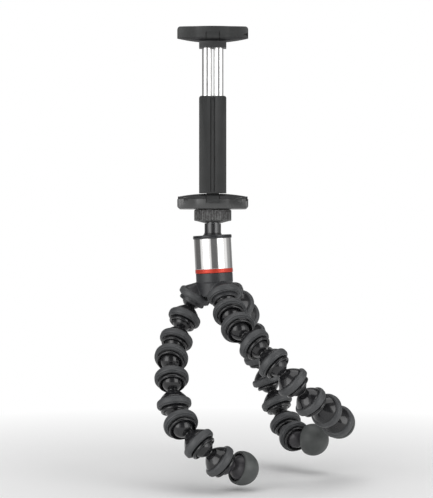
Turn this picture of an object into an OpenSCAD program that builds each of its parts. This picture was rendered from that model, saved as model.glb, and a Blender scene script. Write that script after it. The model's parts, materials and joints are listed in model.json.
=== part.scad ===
// Mini tripod: three wrapping legs of ball-and-socket links, a small ball head and a sprung phone clamp.
// Millimetres, +Z up. The origin is the middle of what the legs grip, straight below the ball head.
// The legs are posed as they lie when they grip a round bar that rises to the right.

/* [Leg links] */
// Distance from one ball centre to the next along a leg
link_pitch = 12.9; // [12.7:0.1:13.6]
// Diameter of each ball
ball_d = 10; // [9.7:0.1:10.2]
// Diameter of the neck below a ball
neck_d = 4.8; // [4.2:0.1:5.2]
// Running clearance between a ball and its socket, on the radius
ball_gap = 0.05; // [0.03:0.01:0.08]
// Diameter of the seat under a rubber grip ring
seat_d = 12.6; // [12.4:0.1:13]
// Outside diameter of a rubber grip ring
ring_d = 16; // [15.4:0.1:16.2]
// Width of a rubber grip ring along the leg
ring_w = 3.8; // [3.4:0.1:4]
// Diameter of the lip round a socket's mouth
lip_d = 12.8; // [12.6:0.1:13]
// Height of the lip above the middle of its socket
lip_h = 2.1; // [1.8:0.1:2.2]

/* [Feet] */
// Diameter of a foot
foot_d = 15.6; // [14.8:0.1:16]
// Distance from a foot's ball to the middle of the foot
foot_reach = 10.3; // [10.2:0.1:11]
// Thickness of the rubber cap at the end of a foot
foot_wall = 1.9; // [1.6:0.1:2.4]

/* [Hub] */
// Height of the ball head's ball above the middle of what the legs grip
head_z = 77.6; // [70:0.1:90]
// Lean of the head and hub to the left
head_lean = 3; // [0:1:5]
// Diameter of the hub's neck
hub_d = 17.8; // [17:0.1:18]
// Distance of each hub socket from the hub's axis
hub_socket_r = 11; // [10.8:0.1:11.6]
// Distance of the hub sockets below the head's ball
hub_socket_drop = 25.3; // [25:0.1:26.5]
// Splay of the hub sockets, away from straight down
hub_splay = 32; // [31:1:35]
// Compass turn of the left hub socket; the others follow at even steps
hub_turn = 173; // [170:1:176]

/* [Ball head] */
// Diameter of the head's ball
head_ball_d = 14; // [13.8:0.1:14.2]
// Diameter of the stem above the ball
stem_d = 8; // [7.6:0.1:8.2]
// Outside diameter of the polished sleeve
sleeve_d = 18; // [17.6:0.1:18.2]
// Inside diameter of the polished sleeve
sleeve_bore_d = 14.8; // [14.6:0.1:15]
// Length of the polished sleeve
sleeve_l = 14.6; // [14.4:0.1:15]
// Outside diameter of the collar on top
collar_d = 18.7; // [18.4:0.1:19]
// Thickness of the collar's rim
collar_t = 1.7; // [1.5:0.1:2]
// Outside diameter of the coloured ring
accent_d = 18.2; // [18:0.1:18.4]
// Height of the coloured ring
accent_h = 1.9; // [1.7:0.1:2]

/* [Lock wheel and stud] */
// Diameter of the knurled lock wheel
wheel_d = 18; // [16:0.5:19]
// Number of grooves in the knurl
knurl_count = 44; // [24:2:48]
// Major diameter of the quarter-inch camera thread
stud_d = 6.35; // [6.3:0.01:6.35]

/* [Clamp] */
// Clear gap between the two pads
grip_gap = 77.6; // [76:0.1:84]
// Width of both jaws
jaw_w = 34; // [31:0.5:38]
// Depth of both jaws, front to back
jaw_depth = 20.4; // [20:0.1:22]
// Thickness of the bottom jaw's plate
bottom_jaw_t = 4.6; // [4.4:0.1:5.2]
// Thickness of the top jaw's plate
top_jaw_t = 2.3; // [2:0.1:2.8]
// Thickness of the rubber under and over the phone
pad_t = 1.2; // [1:0.1:1.4]
// Width of the spine
spine_w = 13; // [12.6:0.1:14]
// Depth of the spine, front to back
spine_t = 6.4; // [6.2:0.1:6.6]
// Length of the spine above its hinge
spine_l = 49.5; // [48:0.1:51]
// Diameter of the guide tubes
tube_d = 4.7; // [4.5:0.1:4.8]
// Distance between the middles of the guide tubes
tube_spacing = 5.5; // [5.4:0.1:5.8]
// Length of the guide tubes
tube_l = 44.2; // [42:0.1:44.4]
// Diameter of the two hinge pins
pin_d = 1.8; // [1.4:0.1:2]

/* [Hidden] */
$fn = 72;

// Clearances, and the overrun that all cuts share
run_gap = 0.05;
seat_gap = 0.05;
slide_gap = 0.2;
cut = 1;

// How each leg lies: one pair per link, its compass heading and how steeply it dips, in degrees
left_pose = [
    [-130, 55], [-115, 50], [-100, 35], [-85, 45], [-75, 65], [-70, 35], [-25, 40], [15, 40], [30, 15]
];
right_pose = [
    [-75, 35], [-70, 30], [-40, 35], [-30, 40], [10, 45], [25, 45], [50, 20], [60, 30], [85, 5]
];
rear_pose = [
    [60, 25], [80, 25], [60, 55], [30, 65], [-10, 70], [-45, 60], [-65, 45], [-70, 20], [-40, 0]
];
first_link = 2;
last_link = first_link + len(left_pose) - 2;
left_turn = hub_turn;
right_turn = hub_turn + 120;
rear_turn = hub_turn - 120;

// A link, measured from the middle of its own socket; the cone behind it slopes at 45 degrees
socket_r = ball_d / 2 + ball_gap;
neck_r = neck_d / 2;
seat_r = seat_d / 2;
flange_step = 0.3;
flange_r = seat_r + flange_step;
flange_z = -ring_w;
cone_h = flange_r - neck_r;
ring_round = 1.4;
lip_round = 0.7;
lip_foot = 0.2;
mouth_z = 1.2;
mouth_r = sqrt(pow(socket_r, 2) - pow(mouth_z, 2));

// A foot, measured from its ball
foot_r = foot_d / 2;
foot_rim = 2.7;
foot_face_r = 6.3;
foot_band = 0.5;
foot_cone_h = foot_face_r - neck_r;
foot_face_z = link_pitch + flange_z - cone_h + foot_cone_h;

// Levels on the head's axis, measured from the middle of its ball
collar_top = 5.1;
sleeve_top = collar_top - collar_t;
sleeve_foot = sleeve_top - sleeve_l;
hub_top = sleeve_foot - accent_h;
hub_neck_l = 4.4;
hub_taper_l = 7.2;
hub_tip_r = 2.5;
spigot_h = 4.1;
head_ball_r = head_ball_d / 2;
head_socket_r = head_ball_r + ball_gap;
throat_z = 3.8;
throat_r = sqrt(pow(head_socket_r, 2) - pow(throat_z, 2));
collar_mouth_r = 6.6;
collar_skirt = 2;
collar_bevel = 0.3;
cup_rim = 2.2;
cup_floor = 1.15;
cup_foot = head_socket_r + cup_floor;
disc_count = 4;
disc_r = 5.2;
disc_hole_r = 2.6;
disc_t = 0.5;
disc_rise = 0.5;
disc_gap = 0.03;
disc_step = disc_t + disc_rise + disc_gap;
well_r = disc_r + slide_gap;
well_floor = -cup_foot - disc_count * disc_step - seat_gap;

// Levels above the middle of the head's ball, along the upright stem
stem_l = 10.8;
stem_foot_r = 4.8;
stem_foot_z = 5.1;
stem_foot_l = 1.2;
stud_r = stud_d / 2;
stud_seat = 5.2;
wheel_z = head_z + stem_l + slide_gap;
wheel_bevel_h = 1.1;
wheel_h = 6.5;
wheel_foot_r = 4.3;
knurl_r = 0.35;
jaw_z = wheel_z + wheel_h + slide_gap;

// The clamp: the bottom jaw's underside is at jaw_z, and its near face is at jaw_near
jaw_near = -12;
jaw_far = jaw_near + jaw_depth;
jaw_corner = 4.5;
jaw_belly = 60;
jaw_edge = 1.5;
jaw_inset = 0.3;
bottom_face = jaw_z + bottom_jaw_t + pad_t;
top_face = bottom_face + grip_gap;
top_outer = top_face + pad_t + top_jaw_t;
heel_l = 5.8;
heel_h = 5.35;
lip_arch = 90;
near_lip_h = 1.4;
far_lip_h = 1.8;
far_lip_w = 4;
top_near_lip_h = 1.55;
skin_t = 0.6;
insert_r = 4.1;
insert_roof = 0.6;

// Hinges: each jaw's near edge is rounded about its hinge, and the spine ends just clear of that edge
knuckle_r = 3;
edge_r = knuckle_r + slide_gap / 2;
hinge_y = jaw_near + knuckle_r;
bottom_hinge_z = bottom_face + near_lip_h - edge_r;
top_hinge_z = top_outer - heel_h - top_near_lip_h + edge_r;
knuckle_w = 6;
neck_near = 0.9;
neck_far = 2.8;
bar_foot = edge_r + slide_gap;
core_r = 1.85;
pin_r = pin_d / 2;
pin_reach = 11;
notch_w = knuckle_w + 2 * slide_gap;
notch_r = knuckle_r + slide_gap;

// Spine, tubes and springs
spine_y = jaw_near + spine_t / 2;
spine_top = bottom_hinge_z + spine_l;
spine_edge = 1.2;
shell_rise = bar_foot + 0.9;
shell_foot = bottom_hinge_z + shell_rise;
tube_r = tube_d / 2;
tube_wall = 0.6;
tube_bore_r = tube_r + run_gap;
block_l = 6.4;
block_foot = top_hinge_z - block_l;
tube_seat = 2.3;
tube_top = block_foot + tube_seat;
well_rise = 2.6;
well_z = shell_foot + well_rise;
spring_pin_r = 0.6;
spring_pin_in = 1;
spring_pin_l = spine_w - 2 * spring_pin_in;
lower_spring_rise = 1.2;
upper_spring_rise = 1.2;
lower_spring_z = well_z + lower_spring_rise;
upper_spring_z = block_foot + upper_spring_rise;
spring_r = 1.45;
spring_wire = 0.4;
spring_eye_r = 1;
screw_r = 0.6;
screw_head_r = 1.1;
screw_head_h = 0.8;
screw_l = 4.4;
screw_x = 3.6;
screw_rise = 1.3;
screw_z = shell_foot + screw_rise;
groove_w = 0.7;
groove_x = 0.85;
groove_depth = 0.5;
groove_margin = 3;
dimple_r = 0.5;

plastic = [0.27, 0.27, 0.28];
rubber = [0.2, 0.2, 0.21];
gloss = [0.06, 0.06, 0.07];
steel = [0.82, 0.82, 0.84];
brass = [0.72, 0.6, 0.32];
red = [0.78, 0.16, 0.1];
foot_grey = [0.36, 0.37, 0.37];

// Directions and places along a leg
function heading(h) = [cos(h[1]) * cos(h[0]), cos(h[1]) * sin(h[0]), -sin(h[1])];
function hub_socket(turn) = [
    hub_socket_r * cos(turn) * cos(head_lean) + hub_socket_drop * sin(head_lean),
    hub_socket_r * sin(turn),
    head_z + hub_socket_r * cos(turn) * sin(head_lean) - hub_socket_drop * cos(head_lean)
];
function ball_place(turn, pose, n) =
    n == 0 ? hub_socket(turn) : ball_place(turn, pose, n - 1) + link_pitch * heading(pose[n - 1]);

module on_leg(turn, pose, n) {
    translate(ball_place(turn, pose, n))
        rotate([0, 90 + pose[n][1], pose[n][0]])
            children();
}

module at_head() {
    translate([0, 0, head_z])
        rotate([0, -head_lean, 0])
            children();
}

module at_hub_socket(turn) {
    at_head()
        rotate([0, 0, turn])
            translate([hub_socket_r, 0, -hub_socket_drop])
                rotate([0, 180 - hub_splay, 0])
                    children();
}

// A ring turned from a bar of rectangular section, with its outer edges rounded
module rounded_ring(inner, outer, height, low_round, high_round) {
    rotate_extrude()
        intersection() {
            translate([inner, 0]) square([outer - inner, height]);
            union() {
                translate([0, low_round]) square([outer, height - low_round - high_round]);
                square([outer - max(low_round, high_round), height]);
                translate([outer - low_round, low_round]) circle(r = low_round);
                translate([outer - high_round, height - high_round]) circle(r = high_round);
            }
        }
}

// A round-cornered rectangle that fills [width, depth] from its lower left corner
module rounded_plate(size, corner) {
    union() {
        translate([corner, 0]) square([size[0] - 2 * corner, size[1]]);
        translate([0, corner]) square([size[0], size[1] - 2 * corner]);
        for (x = [corner, size[0] - corner], y = [corner, size[1] - corner])
            translate([x, y]) circle(r = corner);
    }
}

// The outside of a socket and the cone behind it, about the socket's middle
module socket_body() {
    translate([0, 0, flange_z - cone_h]) cylinder(r1 = neck_r, r2 = flange_r, h = cone_h);
    translate([0, 0, flange_z]) cylinder(r = seat_r, h = lip_h - lip_round - flange_z);
    translate([0, 0, lip_foot])
        rounded_ring(0, lip_d / 2, lip_h - lip_foot, lip_round, lip_round);
}

// What a ball needs: its round seat and the flared mouth
module socket_space() {
    sphere(r = socket_r);
    translate([0, 0, mouth_z])
        cylinder(r1 = mouth_r, r2 = mouth_r + lip_h - mouth_z + cut, h = lip_h - mouth_z + cut);
}

module grip_ring() {
    translate([0, 0, flange_z + seat_gap])
        rounded_ring(seat_r + seat_gap, ring_d / 2, ring_w, ring_round, ring_round);
}

module link_neck(reach) {
    sphere(d = ball_d);
    cylinder(r = neck_r, h = reach);
}

// One leg link: a ball and socket in one moulding, and its rubber ring
module leg_link(turn, pose, n) {
    on_leg(turn, pose, n) {
        color(gloss)
            difference() {
                union() {
                    link_neck(link_pitch + flange_z - cone_h);
                    translate([0, 0, link_pitch]) socket_body();
                }
                translate([0, 0, link_pitch]) socket_space();
            }
        color(rubber) translate([0, 0, link_pitch]) grip_ring();
    }
}

module foot_core(turn, pose) {
    color(gloss)
        on_leg(turn, pose, len(pose) - 1) {
            link_neck(foot_face_z - foot_cone_h);
            translate([0, 0, foot_face_z - foot_cone_h])
                cylinder(r1 = neck_r, r2 = foot_face_r, h = foot_cone_h);
            translate([0, 0, foot_face_z]) cylinder(r = foot_face_r, h = foot_band);
            intersection() {
                translate([0, 0, foot_reach]) sphere(r = foot_r - foot_wall - seat_gap);
                translate([0, 0, foot_face_z]) cylinder(r = foot_r, h = foot_d);
            }
        }
}

module foot_pad(turn, pose) {
    color(foot_grey)
        on_leg(turn, pose, len(pose) - 1)
            difference() {
                translate([0, 0, foot_reach]) sphere(r = foot_r);
                translate([0, 0, foot_reach - foot_rim - foot_d])
                    cylinder(r = foot_r, h = foot_d);
                cylinder(r = foot_face_r + seat_gap, h = foot_face_z + foot_band + seat_gap);
                translate([0, 0, foot_reach]) sphere(r = foot_r - foot_wall);
            }
}

module hub_body() {
    color(plastic)
        difference() {
            union() {
                at_head() {
                    translate([0, 0, hub_top - hub_neck_l]) cylinder(d = hub_d, h = hub_neck_l);
                    translate([0, 0, hub_top - hub_neck_l - hub_taper_l])
                        cylinder(r1 = hub_tip_r, r2 = hub_d / 2, h = hub_taper_l);
                    translate([0, 0, hub_top - hub_neck_l / 2])
                        cylinder(d = sleeve_bore_d - 2 * run_gap, h = hub_neck_l / 2 + spigot_h);
                }
                for (turn = [left_turn, right_turn, rear_turn])
                    at_hub_socket(turn) socket_body();
            }
            for (turn = [left_turn, right_turn, rear_turn])
                at_hub_socket(turn) socket_space();
            at_head()
                translate([0, 0, well_floor]) cylinder(r = well_r, h = head_ball_d);
        }
}

module hub_grip_rings() {
    color(rubber)
        for (turn = [left_turn, right_turn, rear_turn])
            at_hub_socket(turn) grip_ring();
}

module accent_ring() {
    color(red)
        at_head()
            translate([0, 0, hub_top])
                difference() {
                    cylinder(d = accent_d, h = accent_h);
                    translate([0, 0, -cut]) cylinder(d = sleeve_bore_d, h = accent_h + 2 * cut);
                }
}

module head_sleeve() {
    color(steel)
        at_head()
            translate([0, 0, sleeve_foot])
                difference() {
                    cylinder(d = sleeve_d, h = sleeve_l);
                    translate([0, 0, -cut]) cylinder(d = sleeve_bore_d, h = sleeve_l + 2 * cut);
                }
}

module top_collar() {
    color(plastic)
        at_head()
            difference() {
                union() {
                    translate([0, 0, sleeve_top])
                        rounded_ring(0, collar_d / 2, collar_t, collar_bevel, collar_bevel);
                    translate([0, 0, sleeve_top - collar_skirt])
                        cylinder(d = sleeve_bore_d - 2 * run_gap, h = collar_skirt + collar_t / 2);
                }
                sphere(r = head_socket_r);
                translate([0, 0, throat_z])
                    cylinder(r1 = throat_r, r2 = collar_mouth_r, h = collar_top - throat_z);
                translate([0, 0, collar_top - seat_gap]) cylinder(r = collar_mouth_r, h = cut);
            }
}

// A stack of coned washers that presses the cup up against the ball
module disc_springs() {
    color(steel)
        at_head()
            for (i = [0 : disc_count - 1])
                translate([0, 0, well_floor + seat_gap / 2 + (i + 0.5) * disc_step])
                    rotate([i % 2 == 0 ? 0 : 180, 0, 0])
                        rotate_extrude()
                            translate([0, -(disc_t + disc_rise) / 2])
                                polygon([
                                    [disc_hole_r, 0], [disc_r, disc_rise],
                                    [disc_r, disc_rise + disc_t], [disc_hole_r, disc_t]
                                ]);
}

module ball_cup() {
    color(brass)
        at_head()
            difference() {
                translate([0, 0, -cup_foot])
                    cylinder(d = sleeve_bore_d - 2 * run_gap, h = cup_foot - cup_rim);
                sphere(r = head_socket_r);
            }
}

module ball_stem() {
    color(gloss)
        translate([0, 0, head_z])
            difference() {
                union() {
                    sphere(r = head_ball_r);
                    cylinder(d = stem_d, h = stem_l);
                    translate([0, 0, stem_foot_z - stem_foot_l / 2])
                        cylinder(r1 = stem_foot_r, r2 = stem_d / 2, h = stem_foot_l);
                }
                translate([0, 0, stud_seat]) cylinder(r = stud_r + seat_gap, h = stem_l);
            }
}

module camera_stud() {
    color(steel)
        translate([0, 0, head_z + stud_seat + seat_gap])
            cylinder(r = stud_r, h = jaw_z + bottom_jaw_t - insert_roof - head_z - stud_seat - slide_gap);
}

module lock_wheel() {
    color(plastic)
        translate([0, 0, wheel_z])
            difference() {
                union() {
                    cylinder(r1 = wheel_foot_r, r2 = wheel_d / 2, h = wheel_bevel_h);
                    translate([0, 0, wheel_bevel_h]) cylinder(d = wheel_d, h = wheel_h - wheel_bevel_h);
                }
                translate([0, 0, -cut]) cylinder(r = stud_r + run_gap, h = wheel_h + 2 * cut);
                for (i = [0 : knurl_count - 1])
                    rotate([0, 0, i * 360 / knurl_count])
                        translate([wheel_d / 2, 0, wheel_bevel_h])
                            cylinder(r = knurl_r, h = wheel_h, $fn = 24);
            }
}

// The jaws' outline from above: a rounded plate with bowed front and back
module jaw_plan(inset = 0) {
    intersection() {
        translate([-jaw_w / 2 + inset, jaw_near + inset])
            rounded_plate([jaw_w - 2 * inset, jaw_depth - 2 * inset], jaw_corner);
        translate([0, jaw_near + jaw_belly + inset]) circle(r = jaw_belly, $fn = 180);
        translate([0, jaw_far - jaw_belly - inset]) circle(r = jaw_belly, $fn = 180);
    }
}

// The jaws' outline from the front, from z = 0 up, with rounded ends
module jaw_front(height, corner) {
    translate([0, jaw_far + cut, 0])
        rotate([90, 0, 0])
            linear_extrude(jaw_depth + 2 * cut)
                translate([-jaw_w / 2, 0])
                    rounded_plate([jaw_w, height], corner);
}

// Where the knuckle of a hinge at height z turns, open to the near side and towards the spine
module notch(z, way) {
    translate([-notch_w / 2, hinge_y, z])
        rotate([0, 90, 0]) cylinder(r = notch_r, h = notch_w);
    translate([-notch_w / 2, jaw_near - cut, way > 0 ? z : z - spine_t])
        cube([notch_w, notch_r + knuckle_r + cut, spine_t]);
}

// What is left of a jaw once its near edge is rounded about the hinge at height z
module round_edge(z, way) {
    difference() {
        children();
        difference() {
            translate([-jaw_w, jaw_near - cut, way > 0 ? z : z - jaw_depth])
                cube([2 * jaw_w, knuckle_r + cut, jaw_depth]);
            translate([-jaw_w - cut, hinge_y, z])
                rotate([0, 90, 0]) cylinder(r = edge_r, h = 2 * (jaw_w + cut));
        }
    }
}

// The plastic round the bottom jaw's hinge pin, under the rubber
module hinge_core(gap) {
    translate([-jaw_w / 2 + 2 * jaw_edge - gap, hinge_y, bottom_hinge_z])
        rotate([0, 90, 0]) cylinder(r = core_r + gap, h = jaw_w - 4 * jaw_edge + 2 * gap);
}

module pin_bore(z) {
    translate([-pin_reach, hinge_y, z])
        rotate([0, 90, 0]) cylinder(r = pin_r + run_gap, h = jaw_w);
}

module hinge_pin(z) {
    color(steel)
        translate([-pin_reach + seat_gap, hinge_y, z])
            rotate([0, 90, 0]) cylinder(r = pin_r, h = pin_reach + jaw_w / 2 - jaw_edge);
}

module bottom_jaw() {
    color(plastic)
        difference() {
            union() {
                round_edge(bottom_hinge_z, 1)
                    intersection() {
                        translate([0, 0, jaw_z]) linear_extrude(bottom_jaw_t) jaw_plan();
                        translate([0, 0, jaw_z]) jaw_front(bottom_jaw_t + 2 * jaw_edge, jaw_edge);
                    }
                hinge_core(0);
            }
            notch(bottom_hinge_z, 1);
            pin_bore(bottom_hinge_z);
            translate([0, 0, jaw_z - cut])
                cylinder(r = insert_r + seat_gap, h = bottom_jaw_t - insert_roof + cut);
        }
}

// A slab of a jaw's rubber between two distances from the near face and two heights
module pad_slab(from_y, to_y, low, high) {
    translate([-jaw_w / 2, from_y, low]) cube([jaw_w, to_y - from_y, high - low]);
}

// A round bar across both lips that bows them; its crown is at height z
module lip_bow(z, way) {
    translate([0, jaw_near - cut, z - way * lip_arch])
        rotate([-90, 0, 0]) cylinder(r = lip_arch, h = jaw_depth + 2 * cut, $fn = 180);
}

module bottom_pad() {
    low = jaw_z + bottom_jaw_t;
    color(rubber)
        difference() {
            round_edge(bottom_hinge_z, 1) intersection() {
                translate([0, 0, low]) linear_extrude(pad_t + far_lip_h) jaw_plan(jaw_inset);
                union() {
                    pad_slab(jaw_near, jaw_far, low, bottom_face);
                    intersection() {
                        pad_slab(jaw_near, jaw_near + spine_t, low, bottom_face + near_lip_h);
                        lip_bow(bottom_face + near_lip_h, 1);
                    }
                    intersection() {
                        pad_slab(jaw_far - far_lip_w, jaw_far, low, bottom_face + far_lip_h);
                        lip_bow(bottom_face + far_lip_h, 1);
                    }
                }
            }
            hinge_core(seat_gap);
            notch(bottom_hinge_z, 1);
            pin_bore(bottom_hinge_z);
        }
}

module thread_insert() {
    color(brass)
        translate([0, 0, jaw_z])
            difference() {
                cylinder(r = insert_r, h = bottom_jaw_t - insert_roof - seat_gap);
                translate([0, 0, -cut]) cylinder(r = stud_r + run_gap, h = bottom_jaw_t + cut);
            }
}

// A hinged bar of the spine's section: a knuckle round the hinge, a neck, and the bar up to length
module hinged_bar(length) {
    translate([-spine_w / 2, jaw_near, bar_foot]) cube([spine_w, spine_t, length - bar_foot]);
    translate([-knuckle_w / 2, hinge_y - neck_near, 0])
        cube([knuckle_w, neck_near + neck_far, (bar_foot + length) / 2]);
    translate([-knuckle_w / 2, hinge_y, 0]) rotate([0, 90, 0]) cylinder(r = knuckle_r, h = knuckle_w);
}

module tube_places() {
    for (x = [-tube_spacing / 2, tube_spacing / 2])
        translate([x, spine_y, 0]) children();
}

module spring_pin_space(z) {
    translate([-spring_pin_l / 2 - seat_gap, spine_y, z])
        rotate([0, 90, 0]) cylinder(r = spring_pin_r + seat_gap, h = spring_pin_l + 2 * seat_gap);
}

module spring_pin(z) {
    color(steel)
        translate([-spring_pin_l / 2, spine_y, z])
            rotate([0, 90, 0]) cylinder(r = spring_pin_r, h = spring_pin_l);
}

// The whole spine before it is split into its two shells
module spine() {
    difference() {
        intersection() {
            translate([0, 0, bottom_hinge_z]) hinged_bar(spine_l);
            translate([0, jaw_far, bottom_hinge_z - spine_l])
                rotate([90, 0, 0])
                    linear_extrude(jaw_depth)
                        translate([-spine_w / 2, 0])
                            rounded_plate([spine_w, 2 * spine_l], spine_edge);
        }
        translate([-spine_w / 2 - cut, hinge_y, bottom_hinge_z])
            rotate([0, 90, 0]) cylinder(r = pin_r + run_gap, h = spine_w + 2 * cut);
        tube_places() translate([0, 0, well_z]) cylinder(r = tube_bore_r, h = spine_l);
        spring_pin_space(lower_spring_z);
        for (x = [-screw_x, screw_x])
            translate([x, jaw_near + spine_t - screw_l - seat_gap, screw_z])
                rotate([-90, 0, 0]) {
                    cylinder(r = screw_r + seat_gap, h = screw_l + cut);
                    translate([0, 0, screw_l - screw_head_h])
                        cylinder(r = screw_head_r + seat_gap, h = screw_head_h + cut);
                }
        for (x = [-groove_x, groove_x])
            translate([x - groove_w / 2, jaw_near - cut, well_z + groove_margin])
                cube([groove_w, groove_depth + cut, spine_top - well_z - 2 * groove_margin]);
        translate([0, jaw_near - cut, spine_top - groove_margin / 2])
            rotate([-90, 0, 0]) cylinder(r = dimple_r, h = groove_depth + cut);
    }
}

module front_half(gap) {
    translate([-spine_w, spine_y + gap, shell_foot + gap]) cube([2 * spine_w, spine_t, 2 * spine_l]);
}

module spine_rear_shell() {
    color(plastic)
        difference() {
            spine();
            front_half(0);
        }
}

module spine_front_shell() {
    color(plastic)
        intersection() {
            spine();
            front_half(seat_gap);
        }
}

module spine_screws() {
    color(steel)
        for (x = [-screw_x, screw_x])
            translate([x, jaw_near + spine_t - screw_l, screw_z])
                rotate([-90, 0, 0]) {
                    cylinder(r = screw_r, h = screw_l);
                    translate([0, 0, screw_l - screw_head_h + seat_gap])
                        cylinder(r = screw_head_r, h = screw_head_h - seat_gap);
                }
}

// Each spring is a close-wound sleeve with an eye at each end
module clamp_springs() {
    sleeve_z = lower_spring_z + spring_pin_r + spring_wire / 2;
    sleeve_l = upper_spring_z - lower_spring_z - 2 * spring_pin_r - spring_wire;
    color(steel)
        tube_places()
            difference() {
                union() {
                    translate([0, 0, sleeve_z]) cylinder(r = spring_r, h = sleeve_l);
                    for (z = [lower_spring_z, upper_spring_z])
                        translate([-spring_wire, 0, z])
                            rotate([0, 90, 0]) cylinder(r = spring_eye_r, h = 2 * spring_wire);
                }
                translate([0, 0, sleeve_z + spring_wire])
                    cylinder(r = spring_r - spring_wire, h = sleeve_l - 2 * spring_wire);
                for (z = [lower_spring_z, upper_spring_z])
                    translate([-spring_r, 0, z])
                        rotate([0, 90, 0]) cylinder(r = spring_pin_r + run_gap, h = 2 * spring_r);
            }
}

module slider_block() {
    color(plastic)
        difference() {
            translate([0, 0, top_hinge_z])
                mirror([0, 0, 1]) hinged_bar(top_hinge_z - block_foot);
            translate([-spine_w / 2 - cut, hinge_y, top_hinge_z])
                rotate([0, 90, 0]) cylinder(r = pin_r + run_gap, h = spine_w + 2 * cut);
            tube_places()
                translate([0, 0, block_foot - cut])
                    cylinder(r = tube_bore_r, h = tube_top - block_foot + seat_gap + cut);
            spring_pin_space(upper_spring_z);
        }
}

module guide_tubes() {
    color(steel)
        difference() {
            tube_places()
                translate([0, 0, tube_top - tube_l])
                    difference() {
                        cylinder(r = tube_r, h = tube_l);
                        translate([0, 0, -cut]) cylinder(r = tube_r - tube_wall, h = tube_l + 2 * cut);
                    }
            spring_pin_space(upper_spring_z);
        }
}

module top_jaw() {
    color(plastic)
        difference() {
            round_edge(top_hinge_z, -1) intersection() {
                union() {
                    translate([0, 0, top_outer - top_jaw_t]) linear_extrude(top_jaw_t) jaw_plan();
                    intersection() {
                        translate([0, 0, top_outer - heel_h]) linear_extrude(heel_h) jaw_plan();
                        pad_slab(jaw_near, jaw_near + heel_l, top_outer - heel_h, top_outer);
                    }
                }
                translate([0, 0, top_outer]) mirror([0, 0, 1]) jaw_front(heel_h + 2 * jaw_edge, jaw_edge);
            }
            notch(top_hinge_z, -1);
            pin_bore(top_hinge_z);
        }
}

module top_pad() {
    low = top_outer - heel_h - top_near_lip_h;
    high = top_outer - top_jaw_t;
    color(rubber)
        difference() {
            round_edge(top_hinge_z, -1) intersection() {
                translate([0, 0, low]) linear_extrude(high - low) jaw_plan(jaw_inset);
                union() {
                    pad_slab(jaw_near + heel_l, jaw_far, top_face, high);
                    intersection() {
                        union() {
                            pad_slab(jaw_near, jaw_near + spine_t, low, top_outer - heel_h);
                            pad_slab(jaw_near + heel_l, jaw_near + heel_l + skin_t, low, high);
                        }
                        lip_bow(low, -1);
                    }
                    intersection() {
                        pad_slab(jaw_far - far_lip_w, jaw_far, top_face - far_lip_h, high);
                        lip_bow(top_face - far_lip_h, -1);
                    }
                }
            }
            notch(top_hinge_z, -1);
        }
}

hub_body();
hub_grip_rings();
accent_ring();
head_sleeve();
top_collar();
disc_springs();
ball_cup();
ball_stem();
camera_stud();
lock_wheel();
bottom_jaw();
bottom_pad();
thread_insert();
hinge_pin(bottom_hinge_z);  // bottom_hinge_pin
spine_rear_shell();
spine_front_shell();
spine_screws();
spring_pin(lower_spring_z);  // spine_spring_pin
clamp_springs();
slider_block();
guide_tubes();
spring_pin(upper_spring_z);  // slider_spring_pin
hinge_pin(top_hinge_z);  // top_hinge_pin
top_jaw();
top_pad();
for (i = [first_link : last_link]) {
    leg_link(left_turn, left_pose, i - first_link);
    leg_link(right_turn, right_pose, i - first_link);
    leg_link(rear_turn, rear_pose, i - first_link);
}
foot_core(left_turn, left_pose);  // left_foot_core
foot_pad(left_turn, left_pose);  // left_foot_pad
foot_core(right_turn, right_pose);  // right_foot_core
foot_pad(right_turn, right_pose);  // right_foot_pad
foot_core(rear_turn, rear_pose);  // rear_foot_core
foot_pad(rear_turn, rear_pose);  // rear_foot_pad
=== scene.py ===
"""Looks of a bendable phone tripod: legs of ball-and-socket links, a ball head and a sprung phone clamp."""

import json
import logging
import math
from dataclasses import dataclass, field
from enum import Enum
from typing import Iterable, Sequence

import bmesh
import bpy
from bpy.types import ID, Material, Mesh, Node, NodeOutputs, NodeSocket, NodeTree, Object
from mathutils import Matrix, Vector


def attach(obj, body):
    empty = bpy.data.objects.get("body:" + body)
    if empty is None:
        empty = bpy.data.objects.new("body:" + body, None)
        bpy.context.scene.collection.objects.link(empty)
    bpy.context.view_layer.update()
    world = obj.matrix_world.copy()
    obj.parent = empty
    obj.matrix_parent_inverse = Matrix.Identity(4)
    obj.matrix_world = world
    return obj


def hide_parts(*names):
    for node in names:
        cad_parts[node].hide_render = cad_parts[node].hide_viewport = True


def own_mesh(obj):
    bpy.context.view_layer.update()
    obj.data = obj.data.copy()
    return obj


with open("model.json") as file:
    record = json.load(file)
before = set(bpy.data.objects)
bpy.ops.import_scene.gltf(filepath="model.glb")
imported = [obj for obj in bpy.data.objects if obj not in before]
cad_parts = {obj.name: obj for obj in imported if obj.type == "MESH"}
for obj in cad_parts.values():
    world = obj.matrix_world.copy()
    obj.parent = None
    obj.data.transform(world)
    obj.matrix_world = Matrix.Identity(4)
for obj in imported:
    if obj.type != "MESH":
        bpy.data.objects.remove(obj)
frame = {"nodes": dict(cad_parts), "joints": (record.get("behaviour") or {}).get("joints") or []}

LOG = logging.getLogger("tripod")
Point = tuple[float, float]
Place = tuple[float, float, float]
Colour = tuple[float, float, float]

MM = 0.001
EASE = 0.05  # mm by which a piece stays clear of the one that it sits in
WELD = 0.004 * MM
TINY = 1e-7  # less than any detail; a circle this small stands for the axis that an outline is swept round
FLAT, ROUNDED_FROM, SHARP_TURNED, SHARP_MOULDED = (math.radians(angle) for angle in (0.4, 32, 40, 50))
MOTTLE_FROM, MOTTLE_TO = 0.35, 0.65
WEAR_WIDTH = 0.06
RUBBED_FROM, RUBBED_TO = 0.42, 0.62
WHITE = (1.0, 1.0, 1.0, 1.0)


class Leg(Enum):
    """The three legs, by where they leave the hub."""

    LEFT = "left"
    RIGHT = "right"
    REAR = "rear"


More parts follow.
